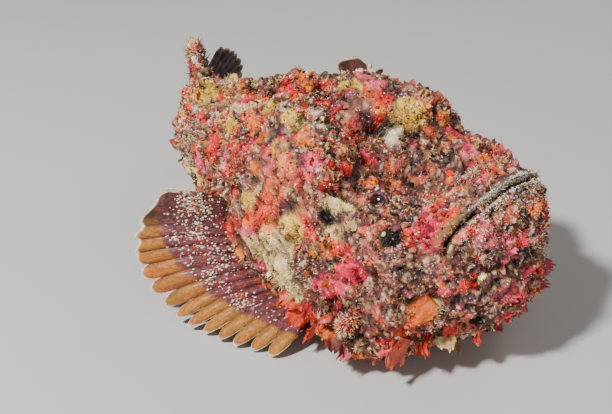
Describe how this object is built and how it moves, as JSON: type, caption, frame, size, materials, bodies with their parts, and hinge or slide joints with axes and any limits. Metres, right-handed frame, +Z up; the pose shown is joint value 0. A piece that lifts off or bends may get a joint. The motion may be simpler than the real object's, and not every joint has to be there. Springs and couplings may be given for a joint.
{
  "type": "reef stonefish",
  "caption": "Life-size reef stonefish lying on the sea bed, crusted skin with warts and ragged flaps, upturned mouth, spread pectoral fans, notched dorsal fin and a tail curled to its left.",
  "frame": {"origin": "on the floor in the flat of the belly, under the middle of the body", "axes": "+X towards the snout, +Y towards the fish's left side, +Z up"},
  "size_m": [0.3146, 0.2294, 0.1393],
  "materials": {
    "skin": "rough crusted skin in deep red, orange, pink and cream patches with white specks",
    "fin": "thick ray fins, maroon with white specks at the base and tan to orange rays towards the edge",
    "eye": "small wet glossy eyes, dark bronze iris and black pupil"
  },
  "bodies": {
    "root": {"head": "skin", "jaw": "skin", "trunk": "skin", "tail": "skin", "eye_left": "eye", "eye_right": "eye", "pectoral_fin_left": "fin", "pectoral_fin_right": "fin", "pelvic_fin_left": "fin", "pelvic_fin_right": "fin", "dorsal_fin": "fin", "anal_fin": "fin", "caudal_fin": "fin"}
  },
  "joints": []
}
